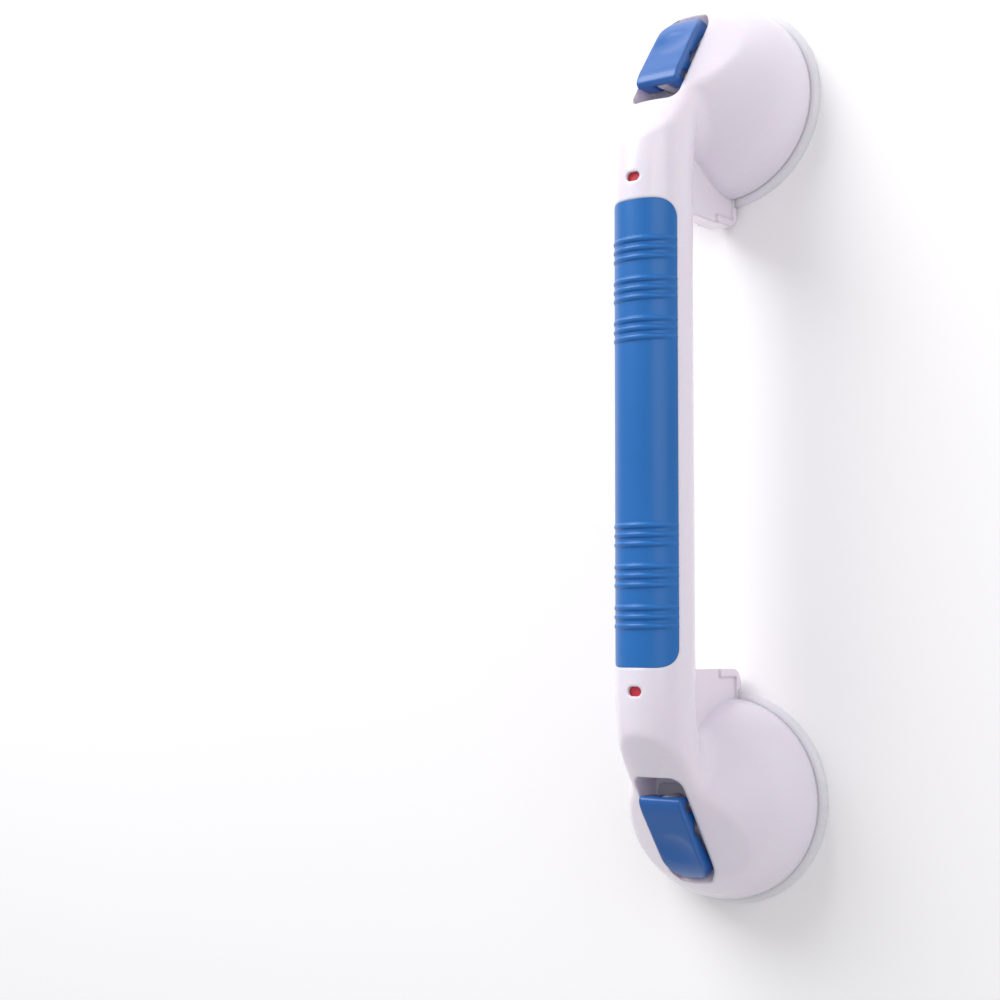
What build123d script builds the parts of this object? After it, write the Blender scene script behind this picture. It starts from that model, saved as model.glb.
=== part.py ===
from build123d import *
from math import cos, radians, sin, tan
import os

# Suction grab bar. Origin on the wall plane midway between the two cups.
# +X runs along the bar, +Z points away from the wall. Millimetres.

# ---- overall layout ----
CUP_SPAN = 382.0                 # distance between the two cup axes
CUP_X = CUP_SPAN / 2
CUP_R = 57.0
BAR_R = 20.5                     # outer radius of the round bar
BAR_Z = 80.0                     # bar axis above the wall
BEND_X = CUP_X - 61.0            # where the bar starts to bend down to the wall
BEND_1 = (BEND_X + 23.0, BAR_Z - 2.0)
BEND_2 = (BEND_X + 41.0, BAR_Z - 7.6)
BEND_3 = (BEND_X + 56.0, BAR_Z - 17.2)
BEND_END = (BEND_X + 67.5, BAR_Z - 28.6)   # the bar ends inside the dome
BAR_CORE_R = BAR_R - 5.0         # hollow inside the bar
CORE_END_X = CUP_X - 19.0        # the hollow stops before the lever pocket

# ---- bell-shaped head ----
DOME_EDGE_R = 53.7
DOME_EDGE_Z = 5.6
DOME_STRETCH = (BAR_Z - 9.6) / 70.4   # the dome grows with the height of the bar
DOME_TOP_Z = DOME_EDGE_Z + 70.4 * DOME_STRETCH
SEAT_Z = DOME_EDGE_Z + 45.9 * DOME_STRETCH   # roof of the space under the lever pocket
CORE_FLOOR_Z = SEAT_Z + 4.0      # the bar's hollow stays above the dome's
DOME_TOP_R = 18.0
DOME_WALL = 2.9
NECK_FILLET = 12.0               # blends the bar into the dome
ROOF_X = CUP_X - 15.0            # sloping top of the head, at its crest
ROOF_Z = SEAT_Z + 31.9
ROOF_FILLET = 8.0
ROOF_TILT = 35.0
ROOF_R = 40.0                    # crown across the slope
ROOF_SIDE = 25.0                 # slope of the two shoulders

# ---- lever pocket ----
POCKET_HALF = 14.3
POCKET_IN_X = CUP_X - 15.0
POCKET_OUT_X = CUP_X + 43.0
FLOOR_Z = SEAT_Z + 5.3
POCKET_SKIN = 2.6
POCKET_CORNER = 5.5
POCKET_END_R = 11.5              # rounding of the pocket's outer end
SCOOP_Z = FLOOR_Z - 22.6

# ---- fin at the inner side of each head ----
FIN_IN_X = CUP_X - 69.5
FIN_THICK = 10.5
FIN_LOW_Z = 2.6
FIN_CORNER = 8.0
FIN_STEP_X = CUP_X - CUP_R - 0.8   # the fin steps up over the cup's rim
FIN_STEP_Z = 5.4
BEAD_WIDTH = 13.0
BEAD_DEPTH = 4.4
BEAD_TOP_Z = 24.0

# ---- suction cup ----
FLANGE_Z = 4.4
LIFT = 4.4                       # how far the closed lever lifts the cup's middle
HUB_R = 15.5
HUB_Z = 14.0
DISC_R = 11.0
DISC_LOW = 7.8
DISC_THICK = 3.2
DISC_GAP = 0.35
NECK_GAP = 0.4

# ---- pull stem ----
STEM_R = 5.0
STEM_FIT = 0.08
STEM_FLAT = 4.3                  # half thickness across the flats at the eye
PIN_Z = SEAT_Z + 15.5
STEM_FLAT_Z = PIN_Z - 11.0
STEM_TOP = PIN_Z + STEM_R
STEM_ROUND = 2.0

# ---- lever, cam and pin ----
PIN_R = 2.0
PIN_FIT = 0.05
PIN_HALF = 11.2
CAM_R = 6.8
CAM_X = 2.05                     # cam centre beside the pin, lever closed
CAM_DROP = 1.9                   # cam centre below the pin, lever closed
LEVER_IN = 4.6                   # end face of the lever, from the pin
LEVER_HALF = 12.0
PADDLE_HALF = 11.7
NOTCH_X = 12.6                   # half-round notch low in each side, from the pin
NOTCH_Z = -7.4
NOTCH_R = 2.6
NOTCH_DEPTH = 2.4
SLOT_HALF = STEM_FLAT + 0.3
SLOT_REACH = STEM_R + 1.5
LEVER_TOP = (
    (-4.6, 8.2), (-2.8, 10.2), (0.5, 9.4), (8.0, 4.4), (18.0, -2.8), (28.0, -10.2), (35.0, -16.8),
    (39.5, -24.0),
)
LEVER_UNDER = ((32.5, -28.2), (25.4, -18.4), (16.5, -9.6), (9.0, -4.6))
PADDLE_TIP = 40.6
DISH_X = 24.0                    # finger dish, from the pin
DISH_Z = -7.2
DISH_DEPTH = 1.2
DISH_R = 46.0
CLIP_R = PIN_R + 1.4
CLIP_THICK = 0.9
CLIP_GAP = 0.15

# ---- cam plate ----
PLATE_TOP = FLOOR_Z + 1.4
PLATE_LIFT = 0.05
PLATE_X = (CUP_X - 10.4, CUP_X + 11.0)
PLATE_HALF = 12.2
PLATE_CORNER = 3.0
PLATE_HOLE_R = STEM_R + 0.5

# ---- return spring ----
SPRING_R = STEM_R + 3.0
SPRING_WIRE_R = 0.8
SPRING_LOW = HUB_Z + 1.0
SPRING_HIGH = SEAT_Z - 1.0
SPRING_TURNS = 7

# ---- pressure ring and its screws ----
RING_IN_R = 39.0
RING_OUT_R = 50.2
RING_LOW = 5.3
RING_TOP = 12.2
RING_WEB = 9.4
SCREW_CIRCLE_R = 44.0
SCREW_COUNT = 4
BOSS_R = 3.6
BOSS_TOP = 31.0
RING_SCREW_END = 18.8
SCREW_R = 1.4
SCREW_HOLE_R = 1.55
SCREW_HEAD_R = 2.7
SCREW_HEAD_H = 1.5
RECESS_H = 1.75
HEAD_SINK = 0.9
HEAD_ROOM = 0.2

# ---- indicator ----
WINDOW_X = CUP_X - 59.0
WINDOW_LONG = 8.0
WINDOW_WIDE = 5.0
ROD_X = CUP_X - 24.0
ROD_R = 2.1
ROD_FIT = 0.08
ROD_FOOT_R = 3.2
ROD_LOW = 8.15
ROD_TOP = BAR_Z + 6.0
GUIDE_R = 4.2
GUIDE_LOW_Z = SEAT_Z - 8.5
RAMP_RISE = 0.5                  # slide ramp, rise per mm of travel
RAMP_GAP = 0.06
SLIDE_LOW = BAR_Z
SLIDE_THICK = 2.0
SLIDE_HALF = 4.5
SLIDE_IN_X = WINDOW_X - 8.0
SLIDE_OUT_X = CUP_X - 20.0
WEDGE_HALF = 3.0
WEDGE_IN_X = SLIDE_OUT_X - 11.0
WEDGE_Z = SLIDE_LOW - 4.0
FLAG_HALF = 4.4
FLAG_TOP = BAR_Z + BAR_R - 2.6
FLAG_ROOM = 0.5
FLAG_LONG = 7.0
FLAG_GAP = 0.15
HEEL_LONG = 3.0
HEEL_HALF = 3.4
RAIL_X = (WINDOW_X + 6.0, WINDOW_X + 19.5)
RAIL_Z = SLIDE_LOW - 2.2
RAIL_THICK = 2.1
RAIL_IN = 3.4
RAIL_WIDE = BAR_CORE_R + 1.5 - RAIL_IN
COIL_R = 2.6
COIL_WIRE_R = 0.4
COIL_TURNS = 6
WEB_X = WINDOW_X - 27.0
WEB_THICK = 2.5

# ---- grip ----
GRIP_HALF = CUP_X - 71.0
GRIP_THICK = 2.6
GRIP_FIT = 0.1
GRIP_EDGE_Z = BAR_Z + 7.8
GRIP_CORNER = 10.0
RIB_HEIGHT = 1.3
RIB_TUBE_R = 1.7
RIB_SHIFT = 1.75                 # the rib circle sits higher, so the ribs fade out
RIB_PITCH = 4.7
RIB_GROUP = 20.8
RIB_FIRST = GRIP_HALF - 20.8

# ---- rear cover ----
COVER_HALF = GRIP_HALF - 2.2
COVER_WIDE = 11.3
COVER_THICK = 2.7
COVER_FIT = 0.15
OPENING_HALF = 8.6
POST_R = 3.6
POST_XS = (40.0, GRIP_HALF - 28.0)
POST_LOW = BAR_Z - BAR_R + COVER_THICK + 0.9
COVER_SCREW_END = BAR_Z - 6.0


def save(solid, label):
    solid.label = label
    export_step(solid, f"parts/{label}.step")


def save_pair(builder, label):
    save(builder.part, f"{label}_right")
    with BuildPart() as left:
        add(mirror(builder.part, about=Plane.YZ))
    save(left.part, f"{label}_left")


def bar_run(radius):
    with BuildPart() as run:
        with BuildLine(Plane.XZ) as spine:
            Line((0, BAR_Z), (BEND_X, BAR_Z))
            Spline(
                (BEND_X, BAR_Z), BEND_1, BEND_2, BEND_3, BEND_END,
                tangents=((1, 0), (0.72, -0.69)),
            )
        with BuildSketch(Plane.YZ):
            with Locations((0, BAR_Z)):
                Circle(radius)
        sweep(path=spine.line)
    return run.part


def roof_space(drop):
    along = Vector(1, 0, 0).rotate(Axis.Y, ROOF_TILT)
    slope = Plane(origin=(ROOF_X, 0, ROOF_Z), x_dir=(0, 1, 0), z_dir=along)
    reach = 90.0
    crown = (ROOF_R * sin(radians(ROOF_SIDE)), -ROOF_R * (1 - cos(radians(ROOF_SIDE))) - drop)
    shoulder = crown[1] - (reach - crown[0]) * tan(radians(ROOF_SIDE))
    with BuildPart() as below:
        with BuildSketch(slope):
            with BuildLine():
                ThreePointArc((-crown[0], crown[1]), (0, -drop), crown)
                Polyline(
                    crown, (reach, shoulder), (reach, -300), (-reach, -300), (-reach, shoulder),
                    (-crown[0], crown[1]),
                )
            make_face()
        extrude(amount=320, both=True)
    return below.part


def bar_core():
    run = bar_run(BAR_CORE_R)
    roof = roof_space(DOME_WALL)
    with BuildPart() as core:
        add(run)
        split(bisect_by=Plane.YZ.offset(CORE_END_X), keep=Keep.BOTTOM)
        add(roof, mode=Mode.INTERSECT)
        with Locations((CORE_END_X, 0, CORE_FLOOR_Z)):
            Box(
                60, 60, 60,
                align=(Align.CENTER, Align.CENTER, Align.MAX), mode=Mode.SUBTRACT,
            )
    return core.part


def cup_axis():
    return Axis((CUP_X, 0, 0), (0, 0, 1))


def pocket_profile(margin):
    with BuildSketch(Plane.XZ) as side:
        with BuildLine():
            Polyline(
                (POCKET_IN_X - margin, FLOOR_Z - margin),
                (CUP_X + 12.0 - margin / 2, FLOOR_Z - margin),
                (CUP_X + 22.0 - margin * 0.8, FLOOR_Z - 9.8 - margin * 0.7),
                (CUP_X + 29.5 - margin * 0.8, FLOOR_Z - 21.0 - margin * 0.7),
                (CUP_X + 34.0, SCOOP_Z - margin),
                (CUP_X + 59.0, SCOOP_Z + 18.0 - margin),
                (CUP_X + 59.0, BAR_Z + 35.0),
                (POCKET_IN_X - margin, BAR_Z + 35.0),
                close=True,
            )
        make_face()
    return side.sketch


def pocket_space(margin):
    half = POCKET_HALF + margin
    long = POCKET_OUT_X - POCKET_IN_X + 2 * margin
    side = pocket_profile(margin)
    with BuildPart() as space:
        extrude(side, amount=half, both=True)
        with BuildSketch():
            with Locations(((POCKET_OUT_X + POCKET_IN_X) / 2, 0)):
                RectangleRounded(long, 2 * half, POCKET_CORNER + margin)
            with Locations((POCKET_OUT_X + margin - 60, 0)):
                RectangleRounded(120, 2 * half, POCKET_END_R + margin, mode=Mode.INTERSECT)
        extrude(amount=120 + BAR_Z, mode=Mode.INTERSECT)
    return space.part


def dome_outer():
    with BuildPart() as dome:
        with BuildSketch(Plane.XZ):
            with BuildLine():
                Line((CUP_X, DOME_EDGE_Z), (CUP_X + DOME_EDGE_R, DOME_EDGE_Z))
                Spline(
                    (CUP_X + DOME_EDGE_R, DOME_EDGE_Z),
                    (CUP_X + 53.6, DOME_EDGE_Z + 7.9 * DOME_STRETCH),
                    (CUP_X + 51.3, DOME_EDGE_Z + 17.9 * DOME_STRETCH),
                    (CUP_X + 46.4, DOME_EDGE_Z + 28.4 * DOME_STRETCH),
                    (CUP_X + 39.8, DOME_EDGE_Z + 38.4 * DOME_STRETCH),
                    (CUP_X + 32.8, DOME_EDGE_Z + 48.4 * DOME_STRETCH),
                    (CUP_X + 25.9, DOME_EDGE_Z + 58.4 * DOME_STRETCH),
                    (CUP_X + DOME_TOP_R, DOME_TOP_Z),
                    tangents=((0.05, 1), (-0.66, 1)),
                )
                Line((CUP_X + DOME_TOP_R, DOME_TOP_Z), (CUP_X, DOME_TOP_Z))
                Line((CUP_X, DOME_TOP_Z), (CUP_X, DOME_EDGE_Z))
            make_face()
        revolve(axis=cup_axis())
    return dome.part


def head_outer():
    bar = bar_run(BAR_R)
    dome = dome_outer()
    roof = roof_space(0.0)
    with BuildPart() as head:
        add(bar)
        add(dome)
        fillet(head.edges(Select.NEW), radius=NECK_FILLET)
        add(roof, mode=Mode.INTERSECT)
        fillet(head.edges(Select.NEW), radius=ROOF_FILLET)
    return head.part


def dome_hollow():
    pocket = pocket_space(POCKET_SKIN)
    roof = roof_space(DOME_WALL)
    with BuildPart() as hollow:
        with BuildSketch(Plane.XZ):
            with BuildLine():
                Polyline(
                    (CUP_X, DOME_EDGE_Z),
                    (CUP_X + DOME_EDGE_R - DOME_WALL, DOME_EDGE_Z),
                    (CUP_X + 50.6, DOME_EDGE_Z + 7.4 * DOME_STRETCH),
                    (CUP_X + 48.4, DOME_EDGE_Z + 16.4 * DOME_STRETCH),
                    (CUP_X + 43.0, DOME_EDGE_Z + 27.2 * DOME_STRETCH),
                    (CUP_X + 36.6, DOME_EDGE_Z + 37.0 * DOME_STRETCH),
                    (CUP_X + 30.4, SEAT_Z),
                    (CUP_X, SEAT_Z),
                    close=True,
                )
            make_face()
        revolve(axis=cup_axis())
        add(pocket, mode=Mode.SUBTRACT)
        add(roof, mode=Mode.INTERSECT)
    return hollow.part


def fin_outline(top, inner, steps):
    with BuildSketch(Plane.XZ) as side:
        with BuildLine():
            Polyline(
                (FIN_IN_X, top), (FIN_IN_X, FIN_LOW_Z), (FIN_STEP_X, FIN_LOW_Z),
                (FIN_STEP_X, FIN_STEP_Z), (CUP_X - 52.4, FIN_STEP_Z), *steps, (inner, top),
                close=True,
            )
        make_face()
        fillet(side.vertices().sort_by_distance((FIN_IN_X, FIN_LOW_Z))[0], radius=FIN_CORNER)
    return side.sketch


def fin():
    joins_bar = BAR_Z - BAR_R + 1.5
    steps = [
        (CUP_X - 51.4, DOME_EDGE_Z + 15.4 * DOME_STRETCH),
        (CUP_X - 44.0, DOME_EDGE_Z + 30.4 * DOME_STRETCH),
        (CUP_X - 37.0, DOME_EDGE_Z + 40.4 * DOME_STRETCH),
    ]
    outline = fin_outline(joins_bar, CUP_X - 29.0, steps)
    lip = fin_outline(BEAD_TOP_Z, CUP_X - 52.4, [])
    with BuildPart() as web:
        extrude(outline, amount=FIN_THICK / 2, both=True)
        extrude(lip, amount=BEAD_WIDTH / 2, both=True)
        for side in (-1, 1):
            with Locations((
                FIN_IN_X + BEAD_DEPTH + 30, side * (FIN_THICK / 2 + 5), FIN_LOW_Z + BEAD_DEPTH + 30,
            )):
                Box(60, 10, 60, mode=Mode.SUBTRACT)
    return web.part


def grip_profile(gap):
    with BuildSketch(Plane.XZ) as side:
        with BuildLine():
            FilletPolyline(
                (-GRIP_HALF - gap, BAR_Z + 30),
                (-GRIP_HALF - gap, GRIP_EDGE_Z - gap),
                (GRIP_HALF + gap, GRIP_EDGE_Z - gap),
                (GRIP_HALF + gap, BAR_Z + 30),
                radius=GRIP_CORNER,
            )
            Line((GRIP_HALF + gap, BAR_Z + 30), (-GRIP_HALF - gap, BAR_Z + 30))
        make_face()
    return side.sketch


def grip_band(inner, outer, gap):
    side = grip_profile(gap)
    with BuildPart() as band:
        with BuildSketch(Plane.YZ):
            with Locations((0, BAR_Z)):
                Circle(outer)
                Circle(inner, mode=Mode.SUBTRACT)
        extrude(amount=GRIP_HALF + 5, both=True)
        extrude(side, amount=30, both=True, mode=Mode.INTERSECT)
    return band.part


def cover_band(inner, outer, wide, half):
    with BuildPart() as band:
        with BuildSketch(Plane.YZ):
            with Locations((0, BAR_Z)):
                Circle(outer)
                Circle(inner, mode=Mode.SUBTRACT)
            with Locations((0, BAR_Z - BAR_R)):
                Rectangle(2 * wide, 18.0, mode=Mode.INTERSECT)
        extrude(amount=half, both=True)
    return band.part


def screw_places():
    return PolarLocations(SCREW_CIRCLE_R, SCREW_COUNT, start_angle=45)


def make_body():
    head = head_outer()
    inner_fin = fin()
    hollow = dome_hollow()
    core = bar_core()
    pocket = pocket_space(0.0)
    grip_recess = grip_band(BAR_R - GRIP_THICK - GRIP_FIT, BAR_R + 4, GRIP_FIT)
    cover_recess = cover_band(
        BAR_R - COVER_THICK - COVER_FIT, BAR_R + 4, COVER_WIDE + COVER_FIT, COVER_HALF + COVER_FIT
    )
    with BuildPart() as shell:
        add(head)
        add(inner_fin)
        add(hollow, mode=Mode.SUBTRACT)
        add(core, mode=Mode.SUBTRACT)
        with Locations((CUP_X, 0, RING_TOP + 0.2)):
            with screw_places():
                Cylinder(BOSS_R, BOSS_TOP - RING_TOP - 0.2, align=(Align.CENTER, Align.CENTER, Align.MIN))
                Cylinder(
                    SCREW_HOLE_R, 8.0, align=(Align.CENTER, Align.CENTER, Align.MIN), mode=Mode.SUBTRACT
                )
        with Locations((WEB_X + WEB_THICK / 2, 0, BAR_Z)):
            Cylinder(BAR_CORE_R + 0.5, WEB_THICK, rotation=(0, 90, 0))
        with Locations((ROD_X, 0, GUIDE_LOW_Z)):
            Cylinder(GUIDE_R, SEAT_Z + 1 - GUIDE_LOW_Z, align=(Align.CENTER, Align.CENTER, Align.MIN))
        for side in (-1, 1):
            rail_mid = (RAIL_X[0] + RAIL_X[1]) / 2
            with Locations((rail_mid, side * (RAIL_IN + RAIL_WIDE / 2), RAIL_Z + RAIL_THICK / 2)):
                Box(RAIL_X[1] - RAIL_X[0], RAIL_WIDE, RAIL_THICK)
        add(pocket, mode=Mode.SUBTRACT)
        with Locations((CUP_X, 0, SEAT_Z - 1)):
            Cylinder(
                STEM_R + STEM_FIT, 12.0, align=(Align.CENTER, Align.CENTER, Align.MIN), mode=Mode.SUBTRACT
            )
        with Locations((ROD_X, 0, SEAT_Z - 14)):
            Cylinder(
                ROD_R + ROD_FIT, 28.0, align=(Align.CENTER, Align.CENTER, Align.MIN), mode=Mode.SUBTRACT
            )
        with Locations((SLIDE_IN_X - 3.0, 0, BAR_Z + 5)):
            Box(
                2 * FLAG_LONG + 8.5, 2 * (FLAG_HALF + FLAG_ROOM), FLAG_TOP + 0.3 - BAR_Z - 5,
                align=(Align.MIN, Align.CENTER, Align.MIN), mode=Mode.SUBTRACT,
            )
        with BuildSketch(Plane.XY.offset(BAR_Z + 10)):
            with Locations((WINDOW_X, 0)):
                SlotOverall(WINDOW_LONG, WINDOW_WIDE, rotation=90)
        extrude(amount=15, mode=Mode.SUBTRACT)
        mirror(about=Plane.YZ)
        add(grip_recess, mode=Mode.SUBTRACT)
        with Locations((0, 0, BAR_Z - BAR_R + 3)):
            Box(2 * (COVER_HALF - 3), 2 * OPENING_HALF, 14.0, mode=Mode.SUBTRACT)
        add(cover_recess, mode=Mode.SUBTRACT)
        for x in POST_XS:
            for side in (-1, 1):
                with Locations((side * x, 0, POST_LOW)):
                    Cylinder(
                        POST_R, BAR_Z + BAR_R - 4 - POST_LOW,
                        align=(Align.CENTER, Align.CENTER, Align.MIN),
                    )
                    Cylinder(
                        SCREW_HOLE_R, 13.0, align=(Align.CENTER, Align.CENTER, Align.MIN), mode=Mode.SUBTRACT
                    )
    save(shell.part, "body_shell")


def make_grip():
    band = grip_band(BAR_R - GRIP_THICK, BAR_R, 0.0)
    rib_major = BAR_R + RIB_HEIGHT - RIB_SHIFT - RIB_TUBE_R
    with BuildPart() as grip:
        add(band)
        for side in (-1, 1):
            for group in range(3):
                for rib in range(3):
                    x = side * (RIB_FIRST - group * RIB_GROUP - rib * RIB_PITCH)
                    with Locations((x, 0, BAR_Z + RIB_SHIFT)):
                        Torus(rib_major, RIB_TUBE_R, rotation=(0, 90, 0))
        with Locations((0, 0, BAR_Z)):
            Cylinder(BAR_R - GRIP_THICK, 2 * GRIP_HALF, rotation=(0, 90, 0), mode=Mode.SUBTRACT)
        with Locations((0, 0, GRIP_EDGE_Z)):
            Box(
                2 * GRIP_HALF + 10, 60, 60,
                align=(Align.CENTER, Align.CENTER, Align.MAX), mode=Mode.SUBTRACT,
            )
    save(grip.part, "grip_pad")


def make_rear_cover():
    band = cover_band(BAR_R - COVER_THICK, BAR_R, COVER_WIDE, COVER_HALF)
    with BuildPart() as cover:
        add(band)
        for x in POST_XS:
            for side in (-1, 1):
                with Locations((side * x, 0, BAR_Z - BAR_R - 1)):
                    Cylinder(
                        SCREW_HOLE_R, 8.0, align=(Align.CENTER, Align.CENTER, Align.MIN), mode=Mode.SUBTRACT
                    )
                    Cylinder(
                        SCREW_HEAD_R + HEAD_ROOM, 1 + RECESS_H,
                        align=(Align.CENTER, Align.CENTER, Align.MIN), mode=Mode.SUBTRACT,
                    )
    save(cover.part, "rear_cover")


def screw(low, end):
    with BuildPart() as body:
        with Locations((0, 0, low)):
            Cylinder(SCREW_HEAD_R, SCREW_HEAD_H, align=(Align.CENTER, Align.CENTER, Align.MIN))
            Cylinder(SCREW_R, end - low, align=(Align.CENTER, Align.CENTER, Align.MIN))
        with Locations((0, 0, low)):
            Box(3.4, 0.7, 1.4, mode=Mode.SUBTRACT)
            Box(0.7, 3.4, 1.4, mode=Mode.SUBTRACT)
    return body.part


def make_cover_screws():
    one = screw(BAR_Z - BAR_R + 0.2, COVER_SCREW_END)
    with BuildPart() as screws:
        for x in POST_XS:
            for side in (-1, 1):
                with Locations((side * x, 0, 0)):
                    add(one)
    save(screws.part, "rear_cover_screws")


def make_cup():
    with BuildPart() as cup:
        with BuildSketch(Plane.XZ):
            with BuildLine():
                Polyline(
                    (CUP_X, LIFT),
                    (CUP_X + 20.0, 3.9),
                    (CUP_X + 42.0, 1.2),
                    (CUP_X + 49.0, 0.0),
                    (CUP_X + CUP_R, 0.0),
                    (CUP_X + CUP_R, 2.2),
                    (CUP_X + 55.4, 3.8),
                    (CUP_X + 54.0, FLANGE_Z),
                    (CUP_X + 46.0, 4.9),
                    (CUP_X + 38.0, 6.0),
                    (CUP_X + 20.0, 8.0),
                    (CUP_X + HUB_R + 1.0, 9.2),
                    (CUP_X + HUB_R, HUB_Z - 1.0),
                    (CUP_X + HUB_R - 1.0, HUB_Z),
                    (CUP_X + STEM_R + NECK_GAP, HUB_Z),
                    (CUP_X + STEM_R + NECK_GAP, DISC_LOW + DISC_THICK + 0.1),
                    (CUP_X + DISC_R + DISC_GAP, DISC_LOW + DISC_THICK + 0.1),
                    (CUP_X + DISC_R + DISC_GAP, DISC_LOW - 0.1),
                    (CUP_X, DISC_LOW - 0.1),
                    close=True,
                )
            make_face()
        revolve(axis=cup_axis())
    save_pair(cup, "suction_cup")


def make_stem():
    with BuildPart() as stem:
        with Locations((CUP_X, 0, DISC_LOW)):
            Cylinder(STEM_R, STEM_TOP - DISC_LOW, align=(Align.CENTER, Align.CENTER, Align.MIN))
            fillet(stem.edges().sort_by(Axis.Z)[-1], radius=STEM_ROUND)
            Cylinder(DISC_R, DISC_THICK, align=(Align.CENTER, Align.CENTER, Align.MIN))
        for side in (-1, 1):
            with Locations((CUP_X, side * (STEM_FLAT + 5), STEM_FLAT_Z + 10)):
                Box(14, 10, 20, mode=Mode.SUBTRACT)
        with Locations((CUP_X, 0, PIN_Z)):
            Cylinder(PIN_R + PIN_FIT, 20, rotation=(90, 0, 0), mode=Mode.SUBTRACT)
    save_pair(stem, "pull_stem")


def make_spring():
    pitch = (SPRING_HIGH - SPRING_LOW) / SPRING_TURNS
    with BuildPart() as spring:
        with BuildLine() as wire:
            Helix(
                pitch=pitch, height=SPRING_HIGH - SPRING_LOW, radius=SPRING_R,
                center=(CUP_X, 0, SPRING_LOW),
            )
        with BuildSketch(Plane(origin=wire.line @ 0, z_dir=wire.line % 0)):
            Circle(SPRING_WIRE_R)
        sweep(path=wire.line, is_frenet=True)
    save_pair(spring, "return_spring")


def make_ring():
    with BuildPart() as ring:
        with BuildSketch(Plane.XZ):
            with BuildLine():
                Polyline(
                    (CUP_X + RING_IN_R, RING_LOW + 1.0),
                    (CUP_X + RING_IN_R + 7.0, RING_LOW),
                    (CUP_X + RING_OUT_R, RING_LOW),
                    (CUP_X + RING_OUT_R - 0.4, RING_TOP),
                    (CUP_X + RING_OUT_R - 2.8, RING_TOP),
                    (CUP_X + RING_OUT_R - 2.8, RING_WEB),
                    (CUP_X + RING_IN_R, RING_WEB),
                    close=True,
                )
            make_face()
        revolve(axis=cup_axis())
        with Locations((CUP_X, 0, RING_LOW + HEAD_SINK)):
            with screw_places():
                Cylinder(
                    BOSS_R - 0.6, RING_TOP - RING_LOW - HEAD_SINK,
                    align=(Align.CENTER, Align.CENTER, Align.MIN),
                )
                Cylinder(
                    SCREW_HOLE_R, 20.0, align=(Align.CENTER, Align.CENTER, Align.MIN), mode=Mode.SUBTRACT
                )
        with Locations((CUP_X, 0, RING_LOW - 1)):
            with screw_places():
                Cylinder(
                    SCREW_HEAD_R + HEAD_ROOM, 1 + HEAD_SINK + RECESS_H,
                    align=(Align.CENTER, Align.CENTER, Align.MIN), mode=Mode.SUBTRACT,
                )
    save_pair(ring, "pressure_ring")


def make_ring_screws():
    one = screw(RING_LOW + HEAD_SINK + 0.15, RING_SCREW_END)
    with BuildPart() as screws:
        with Locations((CUP_X, 0, 0)):
            with screw_places():
                add(one)
    save_pair(screws, "ring_screws")


def make_plate():
    long = PLATE_X[1] - PLATE_X[0]
    with BuildPart() as plate:
        with BuildSketch(Plane.XY.offset(FLOOR_Z + PLATE_LIFT)):
            with Locations(((PLATE_X[0] + PLATE_X[1]) / 2, 0)):
                RectangleRounded(long, 2 * PLATE_HALF, PLATE_CORNER)
            with Locations((CUP_X, 0)):
                Circle(PLATE_HOLE_R, mode=Mode.SUBTRACT)
        extrude(amount=PLATE_TOP - FLOOR_Z - PLATE_LIFT)
    save_pair(plate, "cam_plate")


def lever_side():
    top = [(CUP_X + x, PIN_Z + z) for x, z in LEVER_TOP]
    under = [(CUP_X + x, PIN_Z + z) for x, z in LEVER_UNDER]
    with BuildSketch(Plane.XZ) as side:
        with BuildLine():
            Spline(*top)
            Line(top[-1], under[0])
            Spline(*under)
            Line(under[-1], (CUP_X - LEVER_IN, PIN_Z - 2.0))
            Line((CUP_X - LEVER_IN, PIN_Z - 2.0), top[0])
        make_face()
        with Locations((CUP_X + CAM_X, PIN_Z - CAM_DROP)):
            Circle(CAM_R)
    return side.sketch


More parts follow.
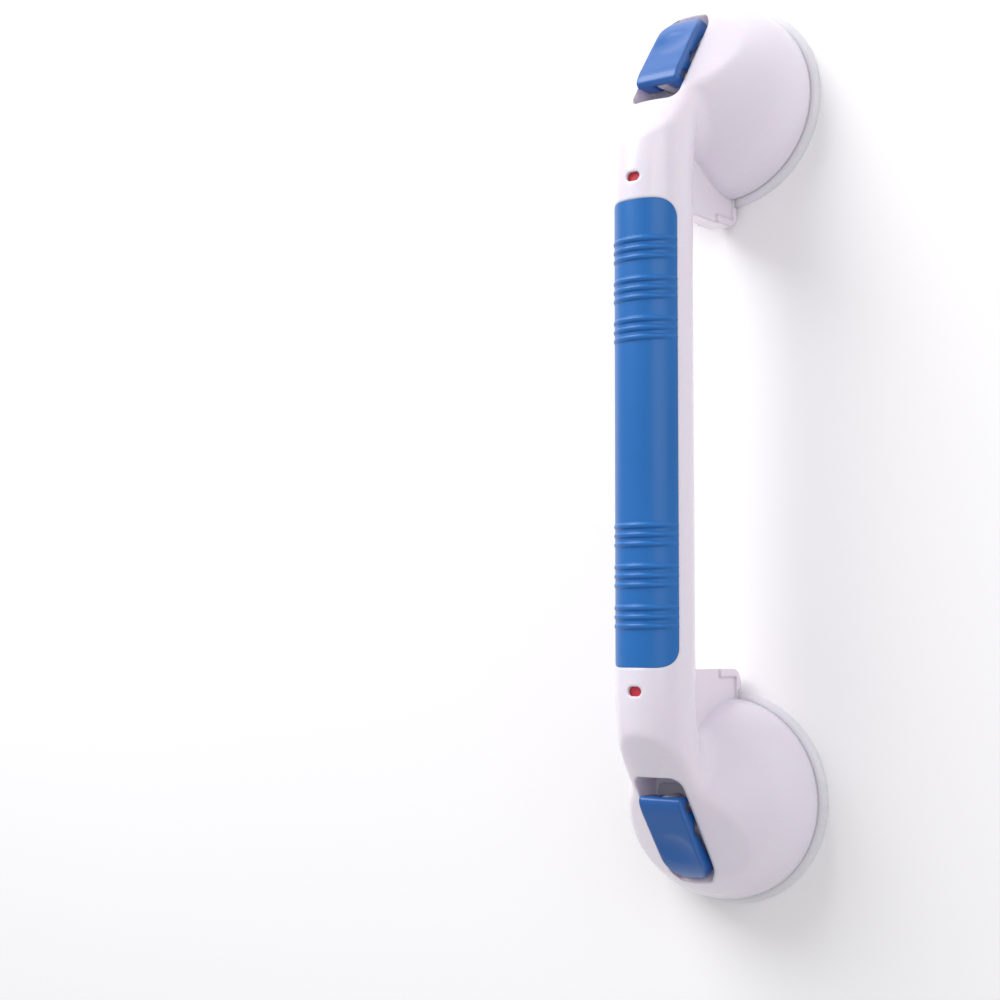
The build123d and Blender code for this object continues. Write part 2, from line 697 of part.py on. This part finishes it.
def make_lever():
    tip_r = 11.0
    dish_up = (DISH_R - DISH_DEPTH) * cos(radians(ROOF_TILT))
    side = lever_side()
    with BuildPart() as lever:
        extrude(side, amount=LEVER_HALF, both=True)
        with BuildSketch():
            with BuildLine():
                Polyline(
                    (CUP_X - LEVER_IN - 1, -LEVER_HALF),
                    (CUP_X + 11.0, -LEVER_HALF),
                    (CUP_X + 23.0, -PADDLE_HALF),
                    (CUP_X + PADDLE_TIP - tip_r, -PADDLE_HALF),
                    (CUP_X + PADDLE_TIP - tip_r, PADDLE_HALF),
                    (CUP_X + 23.0, PADDLE_HALF),
                    (CUP_X + 11.0, LEVER_HALF),
                    (CUP_X - LEVER_IN - 1, LEVER_HALF),
                    close=True,
                )
            make_face()
            with Locations((CUP_X + PADDLE_TIP - tip_r, 0)):
                Ellipse(tip_r, PADDLE_HALF)
        extrude(amount=120, mode=Mode.INTERSECT)
        with Locations((CUP_X, 0, PIN_Z)):
            Cylinder(SLOT_REACH, 2 * SLOT_HALF, rotation=(90, 0, 0), mode=Mode.SUBTRACT)
        for corner in ((0.0, SLOT_REACH), (SLOT_REACH, 0.0)):
            with Locations((CUP_X + corner[0], 0, PIN_Z + corner[1])):
                Box(
                    30, 2 * SLOT_HALF, 30,
                    align=(Align.MAX, Align.CENTER, Align.MAX), mode=Mode.SUBTRACT,
                )
        with Locations((CUP_X + DISH_X + dish_up * tan(radians(ROOF_TILT)), 0, PIN_Z + DISH_Z + dish_up)):
            Sphere(DISH_R, mode=Mode.SUBTRACT)
        with Locations((CUP_X, 0, PIN_Z)):
            Cylinder(PIN_R + PIN_FIT, 40, rotation=(90, 0, 0), mode=Mode.SUBTRACT)
        for side in (-1, 1):
            with Locations((CUP_X + NOTCH_X, side * (LEVER_HALF + 3 - NOTCH_DEPTH), PIN_Z + NOTCH_Z)):
                Cylinder(NOTCH_R, 6, rotation=(90, 0, 0), mode=Mode.SUBTRACT)
            with Locations((CUP_X, side * (LEVER_HALF + 2 - CLIP_THICK - CLIP_GAP * 2), PIN_Z)):
                Cylinder(CLIP_R + CLIP_GAP, 4, rotation=(90, 0, 0), mode=Mode.SUBTRACT)
    save_pair(lever, "lever")


def make_pin():
    with BuildPart() as pin:
        with Locations((CUP_X, 0, PIN_Z)):
            Cylinder(PIN_R, 2 * PIN_HALF, rotation=(90, 0, 0))
        chamfer(pin.edges().filter_by(GeomType.CIRCLE), length=0.3)
    save_pair(pin, "lever_pin")


def make_clips():
    with BuildPart() as clips:
        for side in (-1, 1):
            with Locations((CUP_X, side * (LEVER_HALF - CLIP_THICK / 2 - CLIP_GAP), PIN_Z)):
                Cylinder(CLIP_R, CLIP_THICK, rotation=(90, 0, 0))
                Cylinder(PIN_R + PIN_FIT, 3, rotation=(90, 0, 0), mode=Mode.SUBTRACT)
    save_pair(clips, "pin_clips")


def ramp_z(x):
    return WEDGE_Z + (x - WEDGE_IN_X) * RAMP_RISE


def make_rod():
    with BuildPart() as rod:
        with Locations((ROD_X, 0, ROD_LOW)):
            Cylinder(ROD_R, ROD_TOP - ROD_LOW, align=(Align.CENTER, Align.CENTER, Align.MIN))
            Cylinder(ROD_FOOT_R, 1.0, align=(Align.CENTER, Align.CENTER, Align.MIN))
        with BuildSketch(Plane.XZ):
            with BuildLine():
                Polyline(
                    (ROD_X - 5, ramp_z(ROD_X - 5) - RAMP_GAP),
                    (ROD_X + 5, ramp_z(ROD_X + 5) - RAMP_GAP),
                    (ROD_X + 5, ROD_TOP + 9),
                    (ROD_X - 5, ROD_TOP + 9),
                    close=True,
                )
            make_face()
        extrude(amount=6, both=True, mode=Mode.SUBTRACT)
    save_pair(rod, "indicator_rod")


def make_slide():
    flag_x = WINDOW_X - FLAG_LONG / 2 + 0.1
    with BuildPart() as slide:
        long = SLIDE_OUT_X - SLIDE_IN_X
        with Locations((SLIDE_IN_X, 0, SLIDE_LOW)):
            Box(long, 2 * SLIDE_HALF, SLIDE_THICK, align=(Align.MIN, Align.CENTER, Align.MIN))
        with Locations((SLIDE_IN_X, 0, SLIDE_LOW + SLIDE_THICK / 2)):
            Box(HEEL_LONG, 2 * HEEL_HALF, 6.0, align=(Align.MIN, Align.CENTER, Align.CENTER))
        with BuildSketch(Plane.XZ):
            with BuildLine():
                Polyline(
                    (WEDGE_IN_X, WEDGE_Z),
                    (SLIDE_OUT_X, ramp_z(SLIDE_OUT_X)),
                    (SLIDE_OUT_X, SLIDE_LOW + SLIDE_THICK),
                    (WEDGE_IN_X, SLIDE_LOW + SLIDE_THICK),
                    close=True,
                )
            make_face()
        extrude(amount=WEDGE_HALF, both=True)
        with BuildSketch(Plane.XZ):
            with BuildLine():
                Polyline(
                    (WEDGE_IN_X, ramp_z(WEDGE_IN_X) - 10),
                    (SLIDE_OUT_X + 1, ramp_z(SLIDE_OUT_X + 1) - 10),
                    (SLIDE_OUT_X + 1, ramp_z(SLIDE_OUT_X + 1)),
                    (WEDGE_IN_X, ramp_z(WEDGE_IN_X)),
                    close=True,
                )
            make_face()
        extrude(amount=10, both=True, mode=Mode.SUBTRACT)
        with Locations((flag_x + FLAG_LONG + FLAG_GAP, 0, SLIDE_LOW)):
            Box(FLAG_LONG, 2 * FLAG_HALF, FLAG_TOP - SLIDE_LOW, align=(Align.MIN, Align.CENTER, Align.MIN))
    save_pair(slide, "indicator_slide")
    with BuildPart() as flag:
        with Locations((flag_x, 0, SLIDE_LOW + SLIDE_THICK)):
            Box(
                FLAG_LONG, 2 * FLAG_HALF, FLAG_TOP - SLIDE_LOW - SLIDE_THICK,
                align=(Align.MIN, Align.CENTER, Align.MIN),
            )
    save_pair(flag, "indicator_flag")


def make_coil():
    start = WEB_X + WEB_THICK + COIL_WIRE_R + 0.15
    long = SLIDE_IN_X - COIL_WIRE_R - 0.15 - start
    with BuildPart() as coil:
        with BuildLine() as wire:
            Helix(
                pitch=long / COIL_TURNS, height=long, radius=COIL_R,
                center=(start, 0, SLIDE_LOW + SLIDE_THICK / 2), direction=(1, 0, 0),
            )
        with BuildSketch(Plane(origin=wire.line @ 0, z_dir=wire.line % 0)):
            Circle(COIL_WIRE_R)
        sweep(path=wire.line, is_frenet=True)
    save_pair(coil, "indicator_spring")


def main():
    os.makedirs("parts", exist_ok=True)
    make_body()
    make_grip()
    make_rear_cover()
    make_cover_screws()
    make_cup()
    make_stem()
    make_spring()
    make_ring()
    make_ring_screws()
    make_plate()
    make_lever()
    make_pin()
    make_clips()
    make_rod()
    make_slide()
    make_coil()


main()
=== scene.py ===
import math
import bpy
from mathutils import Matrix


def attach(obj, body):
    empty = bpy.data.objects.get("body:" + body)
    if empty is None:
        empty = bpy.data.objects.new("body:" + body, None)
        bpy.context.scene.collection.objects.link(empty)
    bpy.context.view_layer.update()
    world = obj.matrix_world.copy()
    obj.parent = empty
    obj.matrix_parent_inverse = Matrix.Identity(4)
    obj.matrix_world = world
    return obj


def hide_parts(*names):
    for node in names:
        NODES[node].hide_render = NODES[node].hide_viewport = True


bl_info = {
    "name": "Suction grab bar",
    "version": (1, 0, 0),
    "blender": (4, 5, 0),
    "location": "View3D > Sidebar > Grab bar",
    "description": "Finishes the suction grab bar and sets its stage",
    "category": "Object",
}

import bmesh
import bpy
from bpy.props import FloatProperty, FloatVectorProperty, PointerProperty
from mathutils import Vector

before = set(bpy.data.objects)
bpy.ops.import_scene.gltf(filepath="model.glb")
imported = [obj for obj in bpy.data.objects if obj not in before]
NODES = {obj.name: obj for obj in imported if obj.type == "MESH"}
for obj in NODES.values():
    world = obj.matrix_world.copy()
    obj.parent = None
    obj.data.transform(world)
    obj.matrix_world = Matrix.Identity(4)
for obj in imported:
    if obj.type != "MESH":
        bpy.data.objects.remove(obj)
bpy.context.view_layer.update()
SIDES = ("right", "left")

# ---------------------------------------------------------------- sizes, in metres
SHARP_TURN = math.radians(28)        # an edge that turns more than this stays sharp
WELD_GAP = 1e-6
SMALL_CORNER = 0.0006                # rounding of edges in the shading
SHELL_CORNER = 0.0024
LEVER_CORNER = 0.0022

# ---------------------------------------------------------------- colours, linear
VINYL_COLOUR = (0.80, 0.79, 0.84)
RING_COLOUR = (0.78, 0.77, 0.80)
ROD_COLOUR = (0.75, 0.75, 0.78)
GREY_COLOUR = (0.52, 0.51, 0.56)
GREEN_COLOUR = (0.02, 0.30, 0.06)
ZINC_COLOUR = (0.62, 0.63, 0.66)
PIN_COLOUR = (0.66, 0.66, 0.68)
WIRE_COLOUR = (0.55, 0.56, 0.58)
FLOOR_COLOUR = (0.97, 0.965, 0.975)
ROOM_COLOUR = (1.0, 0.99, 1.0, 1.0)

# ---------------------------------------------------------------- stage, in metres and degrees
FLOOR_HALF = 4.0
MAIN_LIGHT_PLACE = (1.30, 0.90, 1.05)
MAIN_LIGHT_TARGET = (0.0, 0.0, 0.05)
MAIN_LIGHT_SIZE = 1.5
FILL_LIGHT_PLACE = (0.5, -1.3, 1.3)
FILL_LIGHT_TARGET = (0.1, 0.0, 0.05)
FILL_LIGHT_SIZE = 1.4
FILL_LIGHT_SHARE = 0.22              # of the main light's power
CAMERA_PLACE = (-0.10585, -0.49380, 0.87665)
CAMERA_TURN = (4.4974, 36.6771, -89.8200)
SENSOR_WIDTH = 36.0                  # millimetres
NEAREST_SEEN = 0.01


# ---------------------------------------------------------------- shader maths
class Wire:
    """A node socket that takes part in Python expressions."""

    def __init__(self, tree, socket):
        self.tree = tree
        self.socket = socket

    def _maths(self, operation, first, second):
        values = {0: first, 1: second}
        return self.tree.node("ShaderNodeMath", {"operation": operation}, values)["Value"]

    def __add__(self, other):
        return self._maths("ADD", self, other)

    def __radd__(self, other):
        return self._maths("ADD", other, self)

    def __sub__(self, other):
        return self._maths("SUBTRACT", self, other)

    def __rsub__(self, other):
        return self._maths("SUBTRACT", other, self)

    def __mul__(self, other):
        return self._maths("MULTIPLY", self, other)

    def __rmul__(self, other):
        return self._maths("MULTIPLY", other, self)


class Outputs:
    """The outputs of one node, by name."""

    def __init__(self, tree, node):
        self.tree = tree
        self.node = node

    def __getitem__(self, name):
        return Wire(self.tree, self.node.outputs[name])


class Finish:
    """A material under construction."""

    def __init__(self, name):
        self.material = bpy.data.materials.new(name)
        self.material.use_nodes = True
        self.nodes = self.material.node_tree.nodes
        self.links = self.material.node_tree.links
        self.nodes.clear()
        self.place = self.node("ShaderNodeTexCoord", {}, {})["Object"]

    def node(self, kind, settings, values):
        made = self.nodes.new(kind)
        for key, value in settings.items():
            setattr(made, key, value)
        for key, value in values.items():
            if isinstance(value, Wire):
                self.links.new(value.socket, made.inputs[key])
            else:
                made.inputs[key].default_value = value
        return Outputs(self, made)

    def noise(self, scale, detail, roughness, stretch=None):
        place = self.place
        if stretch is not None:
            place = self.node("ShaderNodeMapping", {}, {"Vector": place, "Scale": stretch})["Vector"]
        values = {"Vector": place, "Scale": scale, "Detail": detail, "Roughness": roughness}
        return self.node("ShaderNodeTexNoise", {}, values)["Fac"]

    def band(self, value, low, high):
        settings = {"interpolation_type": "SMOOTHSTEP"}
        values = {"Value": value, "From Min": low, "From Max": high}
        return self.node("ShaderNodeMapRange", settings, values)["Result"]

    def mix(self, amount, first, second):
        values = {"Factor": amount, 6: first, 7: second}
        return self.node("ShaderNodeMix", {"data_type": "RGBA"}, values)[2]

    def rounded(self, radius):
        """The surface's direction as if its edges had this radius."""
        return self.node("ShaderNodeBevel", {"samples": 8}, {"Radius": radius})["Normal"]

    # Corner mask: plastic() uses it to paint a highlight along edges and to roughen them a little.
    def corner_highlight_mask(self, radius):
        """Near one at corners and near zero on open faces."""
        smooth = self.rounded(radius)
        face = self.node("ShaderNodeNewGeometry", {}, {})["Normal"]
        pair = {0: smooth, 1: face}
        likeness = self.node("ShaderNodeVectorMath", {"operation": "DOT_PRODUCT"}, pair)["Value"]
        return self.band(1.0 - likeness, low=0.02, high=0.25)

    def bump(self, height, strength, distance, normal=None):
        values = {"Height": height, "Strength": strength, "Distance": distance}
        if normal is not None:
            values["Normal"] = normal
        return self.node("ShaderNodeBump", {}, values)["Normal"]

    def shader(self, **values):
        sockets = {key.replace("_", " "): value for key, value in values.items()}
        made = self.node("ShaderNodeBsdfPrincipled", {}, sockets)["BSDF"]
        self.node("ShaderNodeOutputMaterial", {}, {"Surface": made})
        return self.material


def rgba(colour):
    return (colour[0], colour[1], colour[2], 1.0)


def shade(colour, factor):
    return tuple(min(1.0, c * factor) for c in colour[:3]) + (1.0,)


def plastic(name, colour, roughness, coat, corner_size=SMALL_CORNER, glow=0.0):
    """Moulded plastic: faint flow marks, fine scuffs, soft corners with a painted highlight along them."""
    make = Finish(name)
    flow = make.noise(scale=9.0, detail=2.0, roughness=0.5)
    fine = make.noise(scale=260.0, detail=3.0, roughness=0.6)
    streaks = make.noise(scale=620.0, detail=2.0, roughness=0.7, stretch=(1.0, 0.16, 1.0))
    scuff = make.band(streaks, low=0.62, high=0.78)
    corner = make.corner_highlight_mask(corner_size)
    tint = make.mix(flow * 0.4, rgba(colour), shade(colour, 0.93))
    worn = make.mix(scuff * 0.10, tint, shade(colour, 1.12))
    # Painted highlight: the colour is made lighter along corners.
    wear_and_highlight = make.mix(corner * 0.18, worn, shade(colour, 1.25))
    gloss = roughness + (flow - 0.5) * 0.06 + scuff * 0.12 + (fine - 0.5) * 0.03 + corner * 0.06
    ripple = make.noise(scale=95.0, detail=2.0, roughness=0.5)
    skin = make.bump(ripple, strength=0.02, distance=0.0004, normal=make.rounded(corner_size))
    return make.shader(
        Base_Color=wear_and_highlight, Roughness=gloss, Normal=skin, IOR=1.5, Coat_Weight=coat, Coat_Roughness=0.08,
        Subsurface_Weight=glow, Subsurface_Scale=0.006,
    )


def soft_rubber(name, colour, roughness):
    """Soft-touch rubber: very fine grain, paler worn crowns and a dull sheen."""
    make = Finish(name)
    cloud = make.noise(scale=14.0, detail=3.0, roughness=0.55)
    grain = make.noise(scale=1500.0, detail=2.0, roughness=0.6)
    wear_and_highlight = make.band(make.noise(scale=48.0, detail=4.0, roughness=0.6), low=0.52, high=0.80)
    tint = make.mix(cloud, shade(colour, 0.90), shade(colour, 1.10))
    worn = make.mix(wear_and_highlight * 0.14, tint, shade(colour, 1.45))
    gloss = roughness + (cloud - 0.5) * 0.10 + (grain - 0.5) * 0.08
    skin = make.bump(grain, strength=0.10, distance=0.0002, normal=make.rounded(SMALL_CORNER))
    return make.shader(Base_Color=worn, Roughness=gloss, Normal=skin, IOR=1.46)


def cup_vinyl(name, colour):
    """Soft clear-white vinyl, a little cloudy, that lets some light through."""
    make = Finish(name)
    cloud = make.noise(scale=30.0, detail=3.0, roughness=0.5)
    dust = make.band(make.noise(scale=420.0, detail=3.0, roughness=0.7), low=0.60, high=0.75)
    tint = make.mix(cloud, shade(colour, 0.93), shade(colour, 1.04))
    dusty = make.mix(dust * 0.18, tint, shade(colour, 0.86))
    gloss = 0.22 + cloud * 0.14 + dust * 0.15
    skin = make.bump(cloud, strength=0.05, distance=0.0004)
    return make.shader(
        Base_Color=dusty, Roughness=gloss, Normal=skin, IOR=1.52,
        Subsurface_Weight=0.25, Subsurface_Scale=0.004, Coat_Weight=0.2,
    )


def drawn_steel(name, colour, roughness, stretch):
    """Steel with fine drawing lines and small dull spots."""
    make = Finish(name)
    lines = make.noise(scale=900.0, detail=3.0, roughness=0.6, stretch=stretch)
    spots = make.band(make.noise(scale=160.0, detail=3.0, roughness=0.6), low=0.60, high=0.74)
    tint = make.mix(lines, shade(colour, 0.82), shade(colour, 1.10))
    spotted = make.mix(spots * 0.3, tint, shade(colour, 0.55))
    gloss = roughness + lines * 0.12 + spots * 0.2
    skin = make.bump(lines, strength=0.15, distance=0.0001)
    return make.shader(Base_Color=spotted, Metallic=1.0, Roughness=gloss, Normal=skin)


def painted_floor(name, colour):
    """A plain pale matt floor."""
    make = Finish(name)
    cloud = make.noise(scale=2.5, detail=3.0, roughness=0.5)
    tint = make.mix(cloud, shade(colour, 0.99), shade(colour, 1.01))
    return make.shader(Base_Color=tint, Roughness=0.7 + cloud * 0.1)


# ---------------------------------------------------------------- helpers
def dress(material, *names):
    for name in names:
        node = NODES.get(name)
        if node is None:
            raise RuntimeError("no piece is called " + name)
        node.data.materials.clear()
        node.data.materials.append(material)


def both(name):
    return [name + "_" + side for side in SIDES]


def welded_copy(node_name, piece_name, body, material):
    """A merged copy of a CAD node, shaded smooth except over sharp edges."""
    mesh = NODES[node_name].data.copy()
    mesh.name = piece_name
    work = bmesh.new()
    work.from_mesh(mesh)
    bmesh.ops.remove_doubles(work, verts=work.verts, dist=WELD_GAP)
    for face in work.faces:
        face.smooth = True
    for edge in work.edges:
        if len(edge.link_faces) == 2 and edge.calc_face_angle() > SHARP_TURN:
            edge.smooth = False
    work.to_mesh(mesh)
    work.free()
    piece = bpy.data.objects.new(piece_name, mesh)
    bpy.context.scene.collection.objects.link(piece)
    mesh.materials.clear()
    mesh.materials.append(material)
    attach(piece, body)
    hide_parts(node_name)
    return piece


# ---------------------------------------------------------------- properties
class GrabBarColours(bpy.types.PropertyGroup):
    body: FloatVectorProperty(
        name="Body", description="Colour of the white mouldings", subtype="COLOR", size=3, min=0, max=1,
        default=(0.85, 0.785, 0.88),
    )
    grip: FloatVectorProperty(
        name="Grip", description="Colour of the soft grip", subtype="COLOR", size=3, min=0, max=1,
        default=(0.010, 0.145, 0.47),
    )
    lever: FloatVectorProperty(
        name="Levers", description="Colour of the levers", subtype="COLOR", size=3, min=0, max=1,
        default=(0.010, 0.115, 0.42),
    )
    flag: FloatVectorProperty(
        name="Red flag", description="Colour shown while the bar isn't attached", subtype="COLOR", size=3,
        min=0, max=1, default=(0.62, 0.03, 0.06),
    )


class GrabBarStage(bpy.types.PropertyGroup):
    lens: FloatProperty(
        name="Lens", description="Focal length of the camera, in millimetres", default=65.23, min=20, max=200
    )
    key_power: FloatProperty(
        name="Main light", description="Power of the large soft light", default=30.0, min=0, unit="POWER"
    )
    room: FloatProperty(
        name="Room light", description="Strength of the light from all round", default=0.56, min=0, max=5
    )


# ---------------------------------------------------------------- operators
class OBJECT_OT_finish_housing(bpy.types.Operator):
    """Gives the body shell, rear cover and screws their finish"""

    bl_idname = "grab_bar.finish_housing"
    bl_label = "Finish the housing"

    def execute(self, context):
        colour = context.scene.grab_bar_colours.body
        white = plastic(
            "moulded_white", colour, roughness=0.22, coat=0.25, corner_size=SHELL_CORNER, glow=0.22
        )
        welded_copy("body_shell", "shell_skin", "housing", white)
        dress(plastic("cover_white", colour, roughness=0.20, coat=0.25), "rear_cover")
        zinc = drawn_steel("zinc_screw", ZINC_COLOUR, roughness=0.25, stretch=(1.0, 1.0, 0.2))
        dress(zinc, "rear_cover_screws", *both("ring_screws"))
        return {"FINISHED"}


class OBJECT_OT_finish_grip(bpy.types.Operator):
    """Gives the ribbed grip its soft blue rubber"""

    bl_idname = "grab_bar.finish_grip"
    bl_label = "Finish the grip"

    def execute(self, context):
        rubber = soft_rubber("grip_rubber", context.scene.grab_bar_colours.grip, roughness=0.34)
        welded_copy("grip_pad", "grip_skin", "housing", rubber)
        return {"FINISHED"}


class OBJECT_OT_finish_cups(bpy.types.Operator):
    """Gives the suction cups and pressure rings their finish"""

    bl_idname = "grab_bar.finish_cups"
    bl_label = "Finish the cups"

    def execute(self, context):
        dress(cup_vinyl("cup_vinyl", VINYL_COLOUR), *both("suction_cup"))
        ring = plastic("ring_white", RING_COLOUR, roughness=0.35, coat=0.0)
        dress(ring, *both("pressure_ring"))
        return {"FINISHED"}


class OBJECT_OT_finish_levers(bpy.types.Operator):
    """Gives the levers, their pins and cam plates their finish"""

    bl_idname = "grab_bar.finish_levers"
    bl_label = "Finish the levers"

    def execute(self, context):
        colour = context.scene.grab_bar_colours.lever
        blue = plastic("lever_blue", colour, roughness=0.34, coat=0.12, corner_size=LEVER_CORNER)
        grey = plastic("light_grey", GREY_COLOUR, roughness=0.38, coat=0.0)
        steel = drawn_steel("pin_steel", PIN_COLOUR, roughness=0.2, stretch=(1.0, 0.2, 1.0))
        for side in SIDES:
            welded_copy("lever_" + side, "lever_skin_" + side, "lever_" + side, blue)
        dress(grey, *both("cam_plate"), *both("pull_stem"))
        dress(steel, *both("lever_pin"), *both("pin_clips"))
        return {"FINISHED"}


class OBJECT_OT_finish_indicators(bpy.types.Operator):
    """Gives the indicators, rods and springs their finish"""

    bl_idname = "grab_bar.finish_indicators"
    bl_label = "Finish the indicators"

    def execute(self, context):
        red = plastic("flag_red", context.scene.grab_bar_colours.flag, roughness=0.32, coat=0.2)
        green = plastic("slide_green", GREEN_COLOUR, roughness=0.35, coat=0.1)
        white = plastic("rod_white", ROD_COLOUR, roughness=0.3, coat=0.0)
        wire = drawn_steel("spring_wire", WIRE_COLOUR, roughness=0.22, stretch=(1.0, 1.0, 1.0))
        dress(red, *both("indicator_flag"))
        dress(green, *both("indicator_slide"))
        dress(white, *both("indicator_rod"))
        dress(wire, *both("return_spring"), *both("indicator_spring"))
        return {"FINISHED"}


class OBJECT_OT_set_stage(bpy.types.Operator):
    """Adds the floor, the soft lights and the camera"""

    bl_idname = "grab_bar.set_stage"
    bl_label = "Set the stage"

    def execute(self, context):
        stage = context.scene.grab_bar_stage
        self._floor()
        fill_power = stage.key_power * FILL_LIGHT_SHARE
        self._light("main_light", MAIN_LIGHT_PLACE, MAIN_LIGHT_TARGET, MAIN_LIGHT_SIZE, stage.key_power)
        self._light("fill_light", FILL_LIGHT_PLACE, FILL_LIGHT_TARGET, FILL_LIGHT_SIZE, fill_power)
        world = bpy.data.worlds.new("pale_room")
        world.use_nodes = True
        sky = world.node_tree.nodes["Background"]
        sky.inputs["Color"].default_value = ROOM_COLOUR
        sky.inputs["Strength"].default_value = stage.room
        context.scene.world = world
        context.scene.view_settings.view_transform = "Standard"
        self._camera(context, stage.lens)
        return {"FINISHED"}

    def _floor(self):
        mesh = bpy.data.meshes.new("floor")
        work = bmesh.new()
        bmesh.ops.create_grid(work, x_segments=1, y_segments=1, size=FLOOR_HALF)
        work.to_mesh(mesh)
        work.free()
        floor = bpy.data.objects.new("floor", mesh)
        bpy.context.scene.collection.objects.link(floor)
        mesh.materials.append(painted_floor("pale_floor", FLOOR_COLOUR))

    def _light(self, name, place, target, size, power):
        data = bpy.data.lights.new(name, "AREA")
        data.shape = "DISK"
        data.size = size
        data.energy = power
        light = bpy.data.objects.new(name, data)
        bpy.context.scene.collection.objects.link(light)
        light.location = place
        light.rotation_euler = (Vector(target) - Vector(place)).to_track_quat("-Z", "Y").to_euler()

    def _camera(self, context, lens):
        data = bpy.data.cameras.new("camera")
        data.lens = lens
        data.sensor_width = SENSOR_WIDTH
        data.clip_start = NEAREST_SEEN
        camera = bpy.data.objects.new("camera", data)
        context.scene.collection.objects.link(camera)
        camera.location = CAMERA_PLACE
        camera.rotation_euler = [math.radians(turn) for turn in CAMERA_TURN]
        context.scene.camera = camera


class VIEW3D_PT_grab_bar(bpy.types.Panel):
    """Lists the steps that finish the grab bar"""

    bl_idname = "VIEW3D_PT_grab_bar"
    bl_label = "Grab bar"
    bl_space_type = "VIEW_3D"
    bl_region_type = "UI"
    bl_category = "Grab bar"

    def draw(self, context):
        for group in (context.scene.grab_bar_colours, context.scene.grab_bar_stage):
            for name in group.__annotations__:
                self.layout.prop(group, name)
        for step in STEPS:
            self.layout.operator(step.bl_idname)


STEPS = (
    OBJECT_OT_finish_housing,
    OBJECT_OT_finish_grip,
    OBJECT_OT_finish_cups,
    OBJECT_OT_finish_levers,
    OBJECT_OT_finish_indicators,
    OBJECT_OT_set_stage,
)
CLASSES = (GrabBarColours, GrabBarStage) + STEPS + (VIEW3D_PT_grab_bar,)


def register():
    for item in CLASSES:
        bpy.utils.register_class(item)
    bpy.types.Scene.grab_bar_colours = PointerProperty(type=GrabBarColours)
    bpy.types.Scene.grab_bar_stage = PointerProperty(type=GrabBarStage)


def unregister():
    del bpy.types.Scene.grab_bar_stage
    del bpy.types.Scene.grab_bar_colours
    for item in reversed(CLASSES):
        bpy.utils.unregister_class(item)


def main():
    register()
    for step in STEPS:
        group, name = step.bl_idname.split(".")
        getattr(getattr(bpy.ops, group), name)()


if __name__ == "__main__":
    main()
